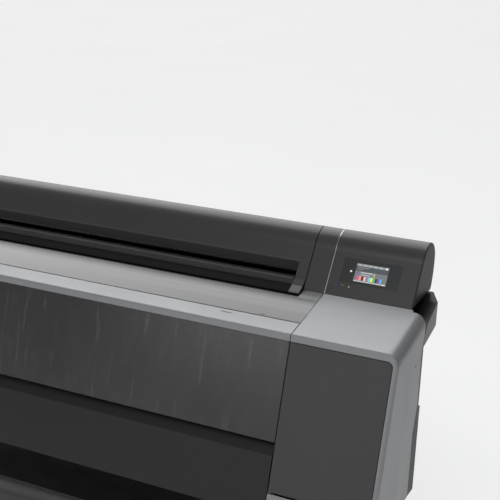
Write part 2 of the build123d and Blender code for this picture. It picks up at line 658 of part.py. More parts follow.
with BuildPart() as carriage:
    y0, y1, z0, z1 = RAIL_BEAM
    body = [(2, -234), (2, -104), (14, -74), (y1 + 4, -74), (y1 + 4, z1 + 0.1), (y0 - 0.1, z1 + 0.1),
            (y0 - 0.1, z0 - 4), (74, -234)]
    add(section(body, -CARRIAGE_HALF, CARRIAGE_HALF))
    fillet(carriage.edges().filter_by(Axis.X).filter_by_position(Axis.Y, EDGE_Y + 1, EDGE_Y + 15), 4.0)
    for i in range(3):
        x = -40 + 30 * i
        add(block(x, x + 20, 20, 78, -78, -70), mode=Mode.SUBTRACT)
save(carriage.part, "carriage")

with BuildPart() as print_head:
    add(block(-48, 48, 12, 62, PAPER_Z + 1.5, -234.0))
    chamfer(print_head.edges().group_by(Axis.Z)[0], 2.0)
save(print_head.part, "print_head")


def belt_disc(x, y0, y1, radius, z=PULLEY_Z):
    """A disc on an axis along Y."""
    with BuildPart() as disc:
        with BuildSketch(Plane.XZ.offset(-(y0 + EDGE_Y))):
            with Locations((x, z + EDGE_Z)):
                Circle(radius)
        extrude(amount=-(y1 - y0))
    return disc.part


def belt_loop(radius):
    """Solid stadium around both pulleys."""
    with BuildPart() as loop:
        with BuildSketch(Plane.XZ.offset(-(BELT_Y[0] + EDGE_Y))):
            with Locations((0, PULLEY_Z + EDGE_Z)):
                SlotCenterToCenter(2 * PULLEY_X, 2 * radius)
        extrude(amount=-(BELT_Y[1] - BELT_Y[0]))
    return loop.part


save(belt_loop(PULLEY_R + RUN_FIT + BELT_T) - belt_loop(PULLEY_R + RUN_FIT), "carriage_belt")
y0, y1 = BELT_Y
save(belt_disc(PULLEY_X, y0, y1, PULLEY_R) + belt_disc(PULLEY_X, y1 - 1, y1 + 20, SHAFT_R),
     "drive_pulley")
save(belt_disc(-PULLEY_X, y0, y1, PULLEY_R) - belt_disc(-PULLEY_X, y0, y1, SHAFT_R + RUN_FIT),
     "idler_pulley")

with BuildPart() as carriage_motor:
    add(belt_disc(PULLEY_X, y1 + 4, y1 + 48, 22.0))
    add(block(PULLEY_X - 24, CHASSIS_IN, y1 + 2, y1 + 5, PULLEY_Z - 26, PULLEY_Z + 26))
    add(belt_disc(PULLEY_X, y1, y1 + 21, SHAFT_R + RUN_FIT), mode=Mode.SUBTRACT)
save(carriage_motor.part, "carriage_motor")

with BuildPart() as platen:
    add(block(-CHASSIS_IN, CHASSIS_IN, -28, 92, PAPER_Z - 14, PAPER_Z - 0.5))
    for i in range(24):
        x = -590 + i * 50
        add(block(x, x + 30, 6, 66, PAPER_Z - 6, PAPER_Z + 1), mode=Mode.SUBTRACT)
save(platen.part, "platen")

journal = CHASSIS_IN + CHASSIS_T + 2
save(disc_stack([(-640, 640, FEED_R), (-journal, journal, 6.0)], FEED_AXIS), "feed_roller")
pinch = [(-journal, journal, SHAFT_R)]
for i in range(8):
    x = -560 + i * 150
    pinch.append((x, x + 70, PINCH_R))
save(disc_stack(pinch, PINCH_AXIS), "pinch_roller")

with BuildPart() as cutter_unit:
    add(block(-22, 22, -44, -29, PAPER_Z - 12, PAPER_Z + 24))
    fillet(cutter_unit.edges().filter_by(Axis.Y), 3.0)
save(cutter_unit.part, "cutter_unit")

with BuildPart() as chassis_plate:
    plate = [(24, -8), (76, 9), (208, 36), (204, 14), (184, -44), (184, -210), (162, -282),
             (162, -464), (-96, -464), (front_y(-410) + 32, -410), (front_y(-60) + 32, -60)]
    add(section(plate, CHASSIS_IN, CHASSIS_IN + CHASSIS_T))
    for centre, radius in ((HINGE_FRONT, HINGE_PIN_R), (FEED_AXIS, 6.0), (PINCH_AXIS, SHAFT_R)):
        add(rod(SEAM - 5, SEAM + 8, centre, radius + RUN_FIT), mode=Mode.SUBTRACT)
save(Compound(children=[chassis_plate.part, mirrored(chassis_plate.part)]), "chassis_plates")


# ---- stand, in the floor frame ----
def box_at(x0, x1, y0, y1, z0, z1):
    """A box by its limits in the floor frame."""
    with BuildPart() as box:
        with Locations(((x0 + x1) / 2, (y0 + y1) / 2, (z0 + z1) / 2)):
            Box(x1 - x0, y1 - y0, z1 - z0)
    return box.part


UNDERSIDE = EDGE_Z + BODY_BOTTOM
with BuildPart() as stand_leg:
    x0, x1 = LEG_X - LEG_WIDTH / 2, LEG_X + LEG_WIDTH / 2
    add(box_at(x0, x1, LEG_FRONT, LEG_REAR, FOOT_TOP - 1, UNDERSIDE - 6))
    fillet(stand_leg.edges().filter_by(Axis.Z), 12.0)
    add(box_at(x0 + TUBE_WALL, x1 - TUBE_WALL, LEG_FRONT + TUBE_WALL, LEG_REAR - TUBE_WALL,
               FOOT_TOP, UNDERSIDE - 6), mode=Mode.SUBTRACT)
    foot_x = FOOT_WIDTH / 2
    add(box_at(x0 - 10, x1 + 10, LEG_FRONT - 40, 30, UNDERSIDE - 6, UNDERSIDE))
    with BuildPart(mode=Mode.PRIVATE) as foot:
        add(box_at(LEG_X - foot_x, LEG_X + foot_x, -HALF_DEPTH, HALF_DEPTH, FOOT_BOTTOM, FOOT_TOP))
        fillet(foot.edges().filter_by(Axis.Z), 14.0)
        fillet(foot.faces().sort_by(Axis.Z)[-1].edges(), 8.0)
        for side in (-1, 1):
            with BuildSketch(Plane.XY.offset(FOOT_BOTTOM)):
                with Locations((LEG_X, side * CASTER_Y)):
                    Circle(6.0 + RUN_FIT)
                with Locations((LEG_X, side * LEVELLER_Y)):
                    Circle(5.0 + RUN_FIT)
            extrude(amount=30, mode=Mode.SUBTRACT)
    add(foot.part)
save(stand_leg.part, "right_stand_leg")
save(mirrored(stand_leg.part), "left_stand_leg")

with BuildPart() as stand_beam:
    reach = LEG_X - LEG_WIDTH / 2
    add(box_at(-reach, reach, 40, 80, 190, 290))
    fillet(stand_beam.edges().filter_by(Axis.X), 6.0)
    add(box_at(-reach, reach, 43, 77, 193, 287), mode=Mode.SUBTRACT)
save(stand_beam.part, "stand_beam")

levellers = []
for side_x in (-1, 1):
    for side_y in (-1, 1):
        with BuildPart() as leveller:
            with BuildSketch(Plane.XY):
                with Locations((side_x * LEG_X, side_y * LEVELLER_Y)):
                    Circle(LEVELLER_R)
            extrude(amount=LEVELLER_T)
            fillet(leveller.edges().group_by(Axis.Z)[-1], 3.0)
            with BuildSketch(Plane.XY.offset(LEVELLER_T - 1)):
                with Locations((side_x * LEG_X, side_y * LEVELLER_Y)):
                    Circle(5.0)
            extrude(amount=FOOT_BOTTOM + 26 - LEVELLER_T)
            with BuildSketch(Plane.XY.offset(FOOT_BOTTOM - 14)):
                with Locations((side_x * LEG_X, side_y * LEVELLER_Y)):
                    RegularPolygon(9.0, 6)
            extrude(amount=9)
        levellers.append(leveller.part)
save(Compound(children=levellers), "levelling_feet")

WHEEL_Z = WHEEL_R + WHEEL_LIFT


def caster_fork(x, y, inward):
    """Swivel fork with its stem; inward points to the machine's middle."""
    axle_y = y + inward * CASTER_TRAIL
    with BuildPart() as fork:
        with BuildSketch(Plane.XY.offset(FOOT_BOTTOM - 9)):
            with Locations((x, y)):
                Circle(24.0)
        extrude(amount=8.5)
        with BuildSketch(Plane.XY.offset(FOOT_BOTTOM - 4)):
            with Locations((x, y)):
                Circle(6.0)
        extrude(amount=30)
        for side in (-1, 1):
            x0, x1 = sorted((x + side * (WHEEL_WIDTH / 2 + 1.5), x + side * (WHEEL_WIDTH / 2 + 4.5)))
            with BuildSketch(Plane.YZ.offset(x0)):
                with BuildLine():
                    Polyline((y - inward * 16, FOOT_BOTTOM - 8), (y + inward * 22, FOOT_BOTTOM - 8),
                             (axle_y + inward * 9, WHEEL_Z + 4), (axle_y + inward * 6, WHEEL_Z - 8),
                             (axle_y - inward * 6, WHEEL_Z - 8), (axle_y - inward * 9, WHEEL_Z + 4),
                             close=True)
                make_face()
            extrude(amount=x1 - x0)
        with BuildSketch(Plane.YZ.offset(x - WHEEL_WIDTH / 2 - 6)):
            with Locations((axle_y, WHEEL_Z)):
                Circle(4.0)
        extrude(amount=WHEEL_WIDTH + 12)
    return fork.part


def caster_wheel(x, y, inward):
    """Wheel with a rounded tread and a bored hub."""
    axle_y = y + inward * CASTER_TRAIL
    with BuildPart() as wheel:
        with BuildSketch(Plane.YZ.offset(x - WHEEL_WIDTH / 2)):
            with Locations((axle_y, WHEEL_Z)):
                Circle(WHEEL_R)
        extrude(amount=WHEEL_WIDTH)
        fillet(wheel.edges(), 4.0)
        for side in (-1, 1):
            with BuildSketch(Plane.YZ.offset(x + side * WHEEL_WIDTH / 2)):
                with Locations((axle_y, WHEEL_Z)):
                    Circle(WHEEL_R - 8)
                    Circle(8.0, mode=Mode.SUBTRACT)
            extrude(amount=-side * 5, mode=Mode.SUBTRACT)
        with BuildSketch(Plane.YZ.offset(x - WHEEL_WIDTH / 2 - 1)):
            with Locations((axle_y, WHEEL_Z)):
                Circle(4.0 + RUN_FIT)
        extrude(amount=WHEEL_WIDTH + 2, mode=Mode.SUBTRACT)
    return wheel.part


for side_name, side_x in (("left", -1), ("right", 1)):
    for end_name, side_y in (("front", -1), ("rear", 1)):
        place = (side_x * LEG_X, side_y * CASTER_Y, -side_y)
        save(caster_fork(*place), f"{end_name}_{side_name}_caster_fork")
        save(caster_wheel(*place), f"{end_name}_{side_name}_caster_wheel")

with BuildPart() as basket_front_bar:
    y, z = BASKET_FRONT
    with BuildLine() as bar_line:
        FilletPolyline((-LEG_X, LEG_FRONT, z), (-LEG_X, y, z), (LEG_X, y, z), (LEG_X, LEG_FRONT, z),
                       radius=30)
    with BuildSketch(Plane(origin=(-LEG_X, LEG_FRONT, z), x_dir=(1, 0, 0), z_dir=(0, -1, 0))):
        Circle(BASKET_ROD_R)
    sweep()
save(basket_front_bar.part, "basket_front_bar")

with BuildPart() as basket_rear_bar:
    with BuildSketch(Plane.YZ.offset(-(LEG_X - LEG_WIDTH / 2))):
        with Locations(BASKET_REAR):
            Circle(BASKET_ROD_R)
    extrude(amount=2 * LEG_X - LEG_WIDTH)
save(basket_rear_bar.part, "basket_rear_bar")

with BuildPart() as basket_cloth:
    drop = BASKET_ROD_R + 1.5
    front = (BASKET_FRONT[0], BASKET_FRONT[1] - drop)
    rear = (BASKET_REAR[0], BASKET_REAR[1] - drop)
    half = CLOTH_T / 2
    with BuildSketch(Plane.YZ.offset(-BASKET_HALF)):
        with BuildLine():
            ThreePointArc((front[0] - half, front[1]), (BASKET_LOW[0], BASKET_LOW[1] - half),
                          (rear[0] + half, rear[1]))
            Line((rear[0] + half, rear[1]), (rear[0] - half, rear[1]))
            ThreePointArc((rear[0] - half, rear[1]), (BASKET_LOW[0], BASKET_LOW[1] + half),
                          (front[0] + half, front[1]))
            Line((front[0] + half, front[1]), (front[0] - half, front[1]))
        make_face()
    extrude(amount=2 * BASKET_HALF)
save(basket_cloth.part, "basket_cloth")
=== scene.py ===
import json
import math
import random

import bmesh
import bpy
from mathutils import Matrix, Vector


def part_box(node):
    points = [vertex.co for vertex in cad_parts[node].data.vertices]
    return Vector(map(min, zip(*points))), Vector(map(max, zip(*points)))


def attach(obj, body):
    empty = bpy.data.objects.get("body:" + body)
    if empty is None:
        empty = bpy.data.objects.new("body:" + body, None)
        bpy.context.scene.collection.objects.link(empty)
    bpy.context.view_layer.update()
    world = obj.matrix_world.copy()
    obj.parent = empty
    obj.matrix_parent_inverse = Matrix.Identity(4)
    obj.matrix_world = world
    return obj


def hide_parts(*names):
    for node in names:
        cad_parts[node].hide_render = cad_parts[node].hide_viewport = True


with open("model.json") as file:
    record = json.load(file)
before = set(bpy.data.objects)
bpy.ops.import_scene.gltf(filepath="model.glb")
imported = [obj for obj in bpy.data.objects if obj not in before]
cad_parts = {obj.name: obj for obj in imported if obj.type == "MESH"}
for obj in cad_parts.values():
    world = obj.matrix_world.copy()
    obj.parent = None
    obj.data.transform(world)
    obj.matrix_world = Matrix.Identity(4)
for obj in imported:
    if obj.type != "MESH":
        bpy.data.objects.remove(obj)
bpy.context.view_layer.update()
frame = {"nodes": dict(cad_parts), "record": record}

NODES = frame["nodes"]
MM = 0.001
random.seed(7)

# camera: degrees, metres and millimetres of lens
CAMERA_AZIMUTH = 25.383
CAMERA_ELEVATION = 16.036
CAMERA_ROLL = 2.3
CAMERA_PLACE = (1.6782, -2.5882, 1.9908)
CAMERA_LENS = 77.4
CAMERA_SENSOR = 36.0
FAR_LIMIT = 400.0

# slopes of the body's faces, from level or from upright, in degrees
STRIP_SLOPE = 11.6          # the bright strip of the printer cover
FRONT_LEAN = 14.56          # the front, its bottom further forward
GUIDE_FRONT = (76.8, 14.6)  # two points of the sheet guide's section, in mm from the deck's edge
GUIDE_REAR = (180.0, 40.0)
GUIDE_THICKNESS = 0.003
SIDE_SLOT = (0, 0.0715, 0.1284)     # middle of the side slot, in from the casing's far top corner

# details, in mm
DISPLAY_LIFT = 0.4          # half the display plate's thickness
PAGE_WIDTH = 92.5           # the lit page
PAGE_HEIGHT = 51.5
SCREW_SIDES = 18
STITCH_SIDES = 6

# basket cloth, in metres
CLOTH_COLUMNS = 120
CLOTH_THICKNESS = 0.0009
SLEEVE_SHARE = 0.2          # share of the path that each sleeve takes
HEM_STEPS = ((0.0, 0.0006), (0.0008, 0.0017), (0.014, 0.0017), (0.015, 0.0006))
STITCH_PITCH = 0.0065
STITCH_SIZE = (0.0042, 0.0010)

# studio
SUN_DIRECTION = (0.36, -0.52, -0.78)
SUN_ENERGY = 2.65
SUN_ANGLE = 52
DARK_SIDE = (0.55, 0.78, 0.28)      # where the room gets darker
ROOM_LIGHT = (0.36, 0.03)           # its strength on the light and on the dark side
ROOM_SEEN = 0.86                    # strength of the room where the camera sees it
FLOOR_RADIUS = 120.0


# ---------------------------------------------------------------- camera
def add_camera():
    """Camera in front of the operator's side, to the right, looking down and to the left."""
    azimuth, elevation, roll = map(math.radians, (CAMERA_AZIMUTH, CAMERA_ELEVATION, CAMERA_ROLL))
    right = Vector((math.cos(azimuth), math.sin(azimuth), 0))
    forward = Vector((-math.sin(azimuth) * math.cos(elevation),
                      math.cos(azimuth) * math.cos(elevation), -math.sin(elevation)))
    up = right.cross(forward)
    across = math.cos(roll) * right + math.sin(roll) * up
    upward = -math.sin(roll) * right + math.cos(roll) * up
    data = bpy.data.cameras.new("camera")
    data.sensor_width = CAMERA_SENSOR
    data.lens = CAMERA_LENS
    data.clip_end = FAR_LIMIT
    camera = bpy.data.objects.new("camera", data)
    camera.matrix_world = Matrix((
        (across.x, upward.x, -forward.x, CAMERA_PLACE[0]),
        (across.y, upward.y, -forward.y, CAMERA_PLACE[1]),
        (across.z, upward.z, -forward.z, CAMERA_PLACE[2]),
        (0, 0, 0, 1)))
    bpy.context.scene.collection.objects.link(camera)
    bpy.context.scene.camera = camera


# ---------------------------------------------------------------- materials
def new_material(name):
    """An empty node material with its principled shader."""
    material = bpy.data.materials.new(name)
    material.use_nodes = True
    tree = material.node_tree
    return material, tree, tree.nodes["Principled BSDF"]


def link(tree, out_node, out_name, in_node, in_name):
    """Joins one node's output to another's input."""
    tree.links.new(out_node.outputs[out_name], in_node.inputs[in_name])


def noise(tree, coords, scale, detail=4.0, stretch=None):
    """A noise texture in object space; stretch draws it out along an axis."""
    node = tree.nodes.new("ShaderNodeTexNoise")
    node.inputs["Scale"].default_value = scale
    node.inputs["Detail"].default_value = detail
    if stretch:
        mapping = tree.nodes.new("ShaderNodeMapping")
        mapping.inputs["Scale"].default_value = stretch
        link(tree, coords, "Object", mapping, "Vector")
        link(tree, mapping, "Vector", node, "Vector")
    else:
        link(tree, coords, "Object", node, "Vector")
    return node


def remap(tree, source, out_name, low_value, high_value):
    """Stretches a noise value to a range."""
    node = tree.nodes.new("ShaderNodeMapRange")
    node.inputs["From Min"].default_value = 0.3
    node.inputs["From Max"].default_value = 0.7
    node.inputs["To Min"].default_value = low_value
    node.inputs["To Max"].default_value = high_value
    link(tree, source, out_name, node, "Value")
    return node


def moulded(name, colour, roughness=0.45, grain=900.0, bump=0.06, spread=0.05,
            specular=0.5, coat=0.0, bevel=0.0008, metallic=0.0, stretch=None, ior=1.5,
            painted_band_stretch=None):
    """Moulded or painted surface: fine grain, slight colour drift, uneven gloss, rounded edges.

    spread is how far the colour drifts, stretch draws out the grain and painted_band_stretch draws
    the drift out into bands, which with a wide spread paint highlight bands.
    """
    material, tree, shader = new_material(name)
    coords = tree.nodes.new("ShaderNodeTexCoord")
    drift = noise(tree, coords, 2.2, 3.0, painted_band_stretch)
    smudge = noise(tree, coords, 14.0, 5.0, (1.0, 1.0, 0.45))
    texture = noise(tree, coords, grain, 2.0, stretch)
    dark = [c * (1 - spread) for c in colour]
    light = [min(1.0, c * (1 + spread)) for c in colour]
    mix = tree.nodes.new("ShaderNodeMix")
    mix.data_type = "RGBA"
    mix.inputs["A"].default_value = (*dark, 1)
    mix.inputs["B"].default_value = (*light, 1)
    blend = remap(tree, drift, "Fac", 0.0, 1.0)
    link(tree, blend, "Result", mix, "Factor")
    link(tree, mix, "Result", shader, "Base Color")
    gloss = remap(tree, smudge, "Fac", roughness * 0.93, min(1.0, roughness * 1.07))
    link(tree, gloss, "Result", shader, "Roughness")
    shader.inputs["Specular IOR Level"].default_value = specular
    shader.inputs["Metallic"].default_value = metallic
    shader.inputs["IOR"].default_value = ior
    shader.inputs["Coat Weight"].default_value = coat
    shader.inputs["Coat Roughness"].default_value = 0.08
    relief = tree.nodes.new("ShaderNodeBump")
    relief.inputs["Strength"].default_value = bump
    relief.inputs["Distance"].default_value = 0.0004
    link(tree, texture, "Fac", relief, "Height")
    if bevel:
        rounding = tree.nodes.new("ShaderNodeBevel")
        rounding.samples = 4
        rounding.inputs["Radius"].default_value = bevel
        link(tree, rounding, "Normal", relief, "Normal")
    link(tree, relief, "Normal", shader, "Normal")
    return material


def glowing(name, colour, strength):
    """A lit mark, slightly uneven."""
    material, tree, shader = new_material(name)
    coords = tree.nodes.new("ShaderNodeTexCoord")
    shimmer = remap(tree, noise(tree, coords, 900.0, 1.0), "Fac", strength * 0.9, strength * 1.1)
    shader.inputs["Base Color"].default_value = (*colour, 1)
    shader.inputs["Roughness"].default_value = 0.3
    shader.inputs["Emission Color"].default_value = (*colour, 1)
    link(tree, shimmer, "Result", shader, "Emission Strength")
    return material


def smoked(name, colour, clear):
    """Polished smoked pane, slightly clear: a dark gloss with faint lighter upright streaks painted
    into its colour as painted reflection.
    """
    material, tree, shader = new_material(name)
    coords = tree.nodes.new("ShaderNodeTexCoord")
    # upright streaks up to 2.8 times lighter in the base colour: painted reflection streaks
    painted_streaks = tree.nodes.new("ShaderNodeMapRange")
    painted_streaks.inputs["From Min"].default_value = 0.56
    painted_streaks.inputs["From Max"].default_value = 0.70
    link(tree, noise(tree, coords, 4.0, 3.0, (22.0, 1.0, 2.2)), "Fac", painted_streaks, "Value")
    tone = tree.nodes.new("ShaderNodeMix")
    tone.data_type = "RGBA"
    tone.inputs["A"].default_value = (*colour, 1)
    tone.inputs["B"].default_value = (*[c * 2.8 for c in colour], 1)
    link(tree, painted_streaks, "Result", tone, "Factor")
    link(tree, tone, "Result", shader, "Base Color")
    haze = remap(tree, noise(tree, coords, 5.0, 2.0, (1.0, 1.0, 0.2)), "Fac", 0.20, 0.26)
    link(tree, haze, "Result", shader, "Roughness")
    shader.inputs["Specular IOR Level"].default_value = 0.75
    shader.inputs["Alpha"].default_value = 1.0 - clear
    return material


def brushed(name, colour, roughness, stretch=(1.0, 40.0, 40.0)):
    """Metal with fine lines drawn along X."""
    return moulded(name, colour, roughness, grain=160.0, bump=0.10, spread=0.06, bevel=0.0006,
                   metallic=1.0, stretch=stretch)


def woven(name, colour, pitch=0.0012):
    """Plain-weave nylon: crossing threads with a faint sheen, and slow colour drift."""
    material, tree, shader = new_material(name)
    coords = tree.nodes.new("ShaderNodeTexCoord")
    weave = []
    for direction in ("X", "Y"):
        threads = tree.nodes.new("ShaderNodeTexWave")
        threads.bands_direction = direction
        threads.inputs["Scale"].default_value = 0.3 / pitch
        threads.inputs["Distortion"].default_value = 1.2
        link(tree, coords, "Object", threads, "Vector")
        weave.append(threads)
    cross = tree.nodes.new("ShaderNodeMath")
    cross.operation = "MAXIMUM"
    tree.links.new(weave[0].outputs["Fac"], cross.inputs[0])
    tree.links.new(weave[1].outputs["Fac"], cross.inputs[1])
    tone = tree.nodes.new("ShaderNodeMix")
    tone.data_type = "RGBA"
    tone.inputs["A"].default_value = (*[c * 0.6 for c in colour], 1)
    tone.inputs["B"].default_value = (*[c * 1.5 for c in colour], 1)
    link(tree, cross, "Value", tone, "Factor")
    link(tree, tone, "Result", shader, "Base Color")
    creases = noise(tree, coords, 9.0, 4.0, (1.0, 2.5, 2.5))
    gloss = remap(tree, creases, "Fac", 0.72, 0.92)
    link(tree, gloss, "Result", shader, "Roughness")
    shader.inputs["Sheen Weight"].default_value = 0.25
    shader.inputs["Sheen Roughness"].default_value = 0.5
    slack = tree.nodes.new("ShaderNodeBump")
    slack.inputs["Strength"].default_value = 0.35
    slack.inputs["Distance"].default_value = 0.004
    link(tree, creases, "Fac", slack, "Height")
    relief = tree.nodes.new("ShaderNodeBump")
    relief.inputs["Strength"].default_value = 0.5
    relief.inputs["Distance"].default_value = 0.0003
    link(tree, cross, "Value", relief, "Height")
    link(tree, slack, "Normal", relief, "Normal")
    link(tree, relief, "Normal", shader, "Normal")
    return material


# after the colour: roughness, grain, bump, spread
MATERIALS = {
    "deck_grey": moulded("deck_grey", (0.214, 0.220, 0.229), 0.40, 1400.0, 0.04, 0.015,
                         metallic=0.15, ior=1.38),
    "dark_grey": moulded("dark_grey", (0.040, 0.040, 0.041), 0.30, 1300.0, 0.06, 0.04,
                         specular=0.24),
    "charcoal": moulded("charcoal", (0.042, 0.042, 0.043), 0.46, 1300.0, 0.08, 0.04,
                        specular=0.35),
    "smoke_window": smoked("smoke_window", (0.016, 0.016, 0.017), clear=0.10),
    "piano_black": moulded("piano_black", (0.022, 0.023, 0.024), 0.30, 400.0, 0.01, 0.1,
                           specular=0.25),
    "screen": moulded("screen", (0.03, 0.035, 0.04), 0.12, 500.0, 0.01, 0.05, coat=0.5),
    "trim": brushed("trim", (0.30, 0.30, 0.29), 0.30),
    # the sheet guide's colour swings by 62% in soft bands drawn out along its length: painted
    # highlight bands standing in for its reflections
    "guide_grey": moulded("guide_grey", (0.097, 0.099, 0.102), 0.16, 1600.0, 0.01, 0.62,
                          ior=1.32, painted_band_stretch=(0.05, 7.0, 7.0)),
    "mech_black": moulded("mech_black", (0.012, 0.012, 0.0125), 0.5, 900.0, 0.12, 0.08),
    "sheet_steel": brushed("sheet_steel", (0.42, 0.43, 0.44), 0.38),
    "machined_alu": brushed("machined_alu", (0.60, 0.61, 0.62), 0.30),
    "roller_rubber": moulded("roller_rubber", (0.03, 0.03, 0.031), 0.75, 1800.0, 0.2, 0.1),
    "belt_rubber": moulded("belt_rubber", (0.015, 0.015, 0.015), 0.7, 1500.0, 0.2, 0.1),
    "tank_plastic": moulded("tank_plastic", (0.035, 0.035, 0.038), 0.38, 900.0, 0.06, 0.05),
    "board_green": moulded("board_green", (0.02, 0.12, 0.06), 0.35, 700.0, 0.05, 0.2),
    "stand_black": moulded("stand_black", (0.020, 0.020, 0.021), 0.42, 1100.0, 0.15, 0.06),
    "wheel_black": moulded("wheel_black", (0.022, 0.022, 0.022), 0.6, 1200.0, 0.15, 0.1),
    "cloth_black": woven("cloth_black", (0.016, 0.016, 0.017)),
    "thread": moulded("thread", (0.03, 0.03, 0.031), 0.7, 2500.0, 0.3, 0.15, bevel=0.0),
}
# some pieces share a slot but differ a little in finish
FINISHES = {
    "rear_housing": moulded("rear_plastic", (0.006, 0.006, 0.0063), 0.27, 1300.0, 0.05, 0.05,
                            ior=1.3),
    "rear_panel": moulded("rear_panel_plastic", (0.016, 0.016, 0.0165), 0.55, 1300.0, 0.10, 0.05),
    "control_end_cap": moulded("cap_plastic", (0.034, 0.034, 0.035), 0.45, 1300.0, 0.06, 0.04,
                               ior=1.2),
    "left_end_housing": moulded("end_plastic", (0.036, 0.036, 0.037), 0.40, 1300.0, 0.06, 0.04,
                                ior=1.3),
    "lower_front_cover": moulded("lower_cover_plastic", (0.009, 0.009, 0.0095), 0.34, 1300.0,
                                 0.06, 0.05, ior=1.4),
}


def dress_nodes():
    """Every CAD node gets the material of its slot, or its own finish."""
    slots = {s["node"]: s["material_slot"] for s in frame["record"]["subparts"]}
    for name, node in NODES.items():
        node.data.materials.clear()
        node.data.materials.append(FINISHES.get(name) or MATERIALS[slots[name]])


# ---------------------------------------------------------------- modelled details
def place_piece(name, work, materials, body):
    """A finished mesh becomes a piece on a body, with the given materials."""
    mesh = bpy.data.meshes.new(name)
    bmesh.ops.recalc_face_normals(work, faces=work.faces)
    work.to_mesh(mesh)
    work.free()
    for material in materials:
        mesh.materials.append(material)
    piece = bpy.data.objects.new(name, mesh)
    bpy.context.scene.collection.objects.link(piece)
    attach(piece, body)
    return piece


def body_carrying(node):
    """Name of the body that a CAD node belongs to."""
    bodies = frame["record"]["behaviour"]["bodies"]
    return next(body for body, nodes in bodies.items() if node in nodes)


def corners(node):
    """A CAD node's lowest and highest corners."""
    low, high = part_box(node)
    return Vector(low), Vector(high)


def outward(joint_name):
    """Unit vector against a joint's axis."""
    joints = frame["record"]["behaviour"]["joints"]
    axis = next(j["axis"] for j in joints if j["name"] == joint_name)
    return -Vector(axis).normalized()


class Surface:
    """A flat face to lay thin tiles on: an origin, its normal, and local right and up.

    Places and sizes on it are in mm.
    """

    def __init__(self, origin, normal, right=(1, 0, 0)):
        self.origin = origin
        self.normal = normal
        self.right = Vector(right)
        self.up = normal.cross(self.right)

    def point(self, across, along, lift):
        """A point at this place, this high above the face."""
        return (self.origin + across * MM * self.right + along * MM * self.up
                + lift * MM * self.normal)

    def prism(self, work, outline, lift, thickness, index=0):
        """A thin plate with this outline, its top edge chamfered inwards."""
        count = len(outline)
        middle = [sum(p[i] for p in outline) / count for i in (0, 1)]
        reach = max(math.hypot(p[0] - middle[0], p[1] - middle[1]) for p in outline)
        shrink = 1 - 0.25 * thickness / max(0.3, reach)
        shoulder = lift - 0.3 * thickness
        rings = []
        for height, factor in ((lift - thickness, 1.0), (shoulder, 1.0), (lift, shrink)):
            rings.append([work.verts.new(self.point(middle[0] + (x - middle[0]) * factor,
                                                    middle[1] + (y - middle[1]) * factor, height))
                          for x, y in outline])
        faces = [work.faces.new(rings[0][::-1]), work.faces.new(rings[-1])]
        for low, high in zip(rings, rings[1:]):
            for i in range(count):
                faces.append(work.faces.new((low[i], low[(i + 1) % count],
                                             high[(i + 1) % count], high[i])))
        for face in faces:
            face.material_index = index

    def tile(self, work, centre, size, radius, lift, thickness, index=0):
        """A rounded rectangle."""
        inset = [s / 2 - radius for s in size]
        outline = []
        for quarter, (sx, sy) in enumerate(((1, 1), (-1, 1), (-1, -1), (1, -1))):
            for step in range(4):
                angle = math.radians(90 * quarter + 30 * step)
                outline.append((centre[0] + sx * inset[0] + radius * math.cos(angle),
                                centre[1] + sy * inset[1] + radius * math.sin(angle)))
        self.prism(work, outline, lift, thickness, index)

    def disc(self, work, centre, radius, lift, thickness, index=0, sides=20):
        """A round plate."""
        outline = [(centre[0] + radius * math.cos(2 * math.pi * i / sides),
                    centre[1] + radius * math.sin(2 * math.pi * i / sides)) for i in range(sides)]
        self.prism(work, outline, lift, thickness, index)

    def arc(self, work, centre, radius, width, start, end, lift, thickness, index=0, steps=16):
        """Part of a ring, as for a power symbol."""
        angles = [math.radians(start + (end - start) * i / steps) for i in range(steps + 1)]
        for first, second in zip(angles, angles[1:]):
            outer_then_inner = [(radius + width / 2, first), (radius + width / 2, second),
                                (radius - width / 2, second), (radius - width / 2, first)]
            outline = [(centre[0] + r * math.cos(a), centre[1] + r * math.sin(a))
                       for r, a in outer_then_inner]
            self.prism(work, outline, lift, thickness, index)


def node_middle(node):
    """Middle of a CAD node's box."""
    low, high = corners(node)
    return (low + high) / 2


def head_face(node, half_thickness):
    """The outer face of a thin plate that lies in the head's sloping face."""
    normal = outward("power_button_press")
    return Surface(node_middle(node) + half_thickness * MM * normal, normal)


LIT = {
    "status": glowing("lit_status", (0.20, 0.21, 0.22), 0.50),
    "row": glowing("lit_row", (0.040, 0.052, 0.058), 0.50),
    "band": glowing("lit_band", (0.13, 0.138, 0.145), 0.50),
    "pale": glowing("lit_pale", (0.42, 0.43, 0.44), 0.55),
    "white": glowing("lit_white", (0.85, 0.87, 0.9), 0.60),
    "blue_mark": glowing("lit_blue_mark", (0.06, 0.10, 0.55), 0.55),
    "amber_mark": glowing("lit_amber_mark", (0.35, 0.14, 0.02), 0.25),
}
INKS = {
    "magenta": (0.60, 0.03, 0.25),
    "orange": (0.75, 0.22, 0.06),
    "ink_black": (0.004, 0.004, 0.005),
    "pink": (0.66, 0.36, 0.47),
    "ink_grey": (0.22, 0.20, 0.22),
    "cyan": (0.12, 0.50, 0.62),
    "yellow": (0.72, 0.68, 0.08),
    "green": (0.04, 0.38, 0.09),
    "matte_black": (0.004, 0.005, 0.005),
    "violet": (0.12, 0.05, 0.35),
    "light_blue": (0.06, 0.33, 0.62),
    "olive": (0.13, 0.13, 0.04),
}


